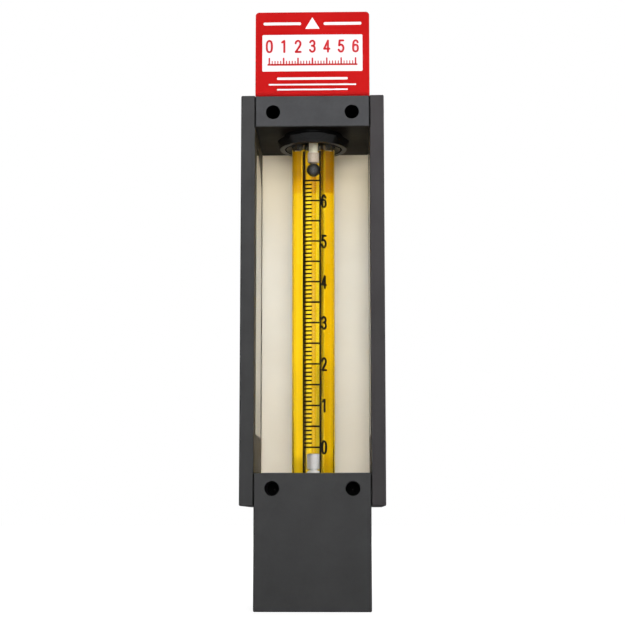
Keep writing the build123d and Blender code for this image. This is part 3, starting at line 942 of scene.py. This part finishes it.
def w_math(op, a, b):
    n = wn.nodes.new("ShaderNodeMath")
    n.operation = op
    for i, v in enumerate((a, b)):
        if isinstance(v, (int, float)):
            n.inputs[i].default_value = v
        else:
            wn.links.new(v, n.inputs[i])
    return n.outputs[0]


def w_range(v, a0, a1, b0, b1):
    n = wn.nodes.new("ShaderNodeMapRange")
    n.interpolation_type = "SMOOTHSTEP"
    for k, x in zip(("From Min", "From Max", "To Min", "To Max"), (a0, a1, b0, b1)):
        n.inputs[k].default_value = x
    wn.links.new(v, n.inputs["Value"])
    return n.outputs["Result"]


front = w_range(w_xyz.outputs[1], -0.96, -0.90, 1.0, 0.0)
aside = w_range(w_math("ABSOLUTE", w_xyz.outputs[0], 0.0), 0.22, 0.34, 1.0, 0.0)
height = w_math("MULTIPLY", w_range(w_xyz.outputs[2], -0.02, 0.04, 0.0, 1.0), w_range(w_xyz.outputs[2], 0.23, 0.28, 1.0, 0.0))
wall = w_math("MULTIPLY", w_math("MULTIPLY", front, aside), w_math("MULTIPLY", height, 0.42))
wn.links.new(w_math("ADD", w_map.outputs["Result"], wall), w_mir.inputs["Strength"])
w_path = wn.nodes.new("ShaderNodeLightPath")
w_mix0 = wn.nodes.new("ShaderNodeMixShader")
wn.links.new(w_path.outputs["Is Glossy Ray"], w_mix0.inputs[0])
wn.links.new(w_lit.outputs[0], w_mix0.inputs[1])
wn.links.new(w_mir.outputs[0], w_mix0.inputs[2])
w_mix = wn.nodes.new("ShaderNodeMixShader")
wn.links.new(w_path.outputs["Is Camera Ray"], w_mix.inputs[0])
wn.links.new(w_mix0.outputs[0], w_mix.inputs[1])
wn.links.new(w_see.outputs[0], w_mix.inputs[2])
wn.links.new(w_mix.outputs[0], w_out.inputs[0])


def softbox(name, at, aim, w, h, power, color=(1, 1, 1), spread=180.0, mirrored=True):
    li = bpy.data.lights.new(name, "AREA")
    li.shape = "RECTANGLE"
    li.size, li.size_y = w, h
    li.energy = power
    li.color = color
    li.spread = math.radians(spread)
    ob = bpy.data.objects.new(name, li)
    bpy.context.scene.collection.objects.link(ob)
    ob.location = at
    ob.visible_glossy = mirrored
    ob.visible_transmission = mirrored
    li.cycles.use_multiple_importance_sampling = mirrored
    ob.rotation_mode = "QUATERNION"
    ob.rotation_quaternion = (Vector(aim) - Vector(at)).to_track_quat("-Z", "Y")
    return ob


softbox("front_softbox", (0.03, -0.62, 0.150), (0, 0, 0.140), 0.40, 0.30, 0.83, spread=60.0, mirrored=False)
softbox("high_softbox", (0.10, -0.52, 0.62), (0, 0, 0.11), 0.42, 0.30, 0.75, mirrored=False)
softbox("left_fill", (-1.1, -0.35, 0.55), (0, 0, 0.07), 0.6, 0.8, 0.55, mirrored=False)
softbox("right_fill", (1.1, -0.35, 0.55), (0, 0, 0.07), 0.6, 0.8, 0.55, mirrored=False)
softbox("rear_fill", (0.2, 1.2, 0.7), (0, 0, 0.07), 0.9, 0.7, 11.0)

# the camera stands low in front, a little to the right, and looks slightly up
PITCH, YAW, LENS, SHIFT_Y = 6.965, 1.5205, 82.62, 0.05
cam_data = bpy.data.cameras.new("camera")
cam = bpy.data.objects.new("camera", cam_data)
bpy.context.scene.collection.objects.link(cam)
cam.location = (0.0090, -0.357, 0.0215)
p, yw = math.radians(PITCH), math.radians(YAW)
forward = Vector((-math.sin(yw) * math.cos(p), math.cos(yw) * math.cos(p), math.sin(p)))
right = Vector((math.cos(yw), math.sin(yw), 0))
upv = right.cross(forward)
cam.rotation_mode = "QUATERNION"
cam.rotation_quaternion = Matrix((right, upv, -forward)).transposed().to_quaternion()
cam_data.sensor_width = 36.0
cam_data.sensor_fit = "AUTO"
cam_data.lens = LENS
cam_data.shift_y = SHIFT_Y
cam_data.clip_start, cam_data.clip_end = 0.01, 50.0
cam_data.dof.use_dof = False
bpy.context.scene.camera = cam

bpy.context.scene.view_settings.view_transform = "Standard"
bpy.context.scene.view_settings.look = "None"
bpy.context.scene.view_settings.exposure = 0.0
bpy.context.scene.view_settings.gamma = 1.0
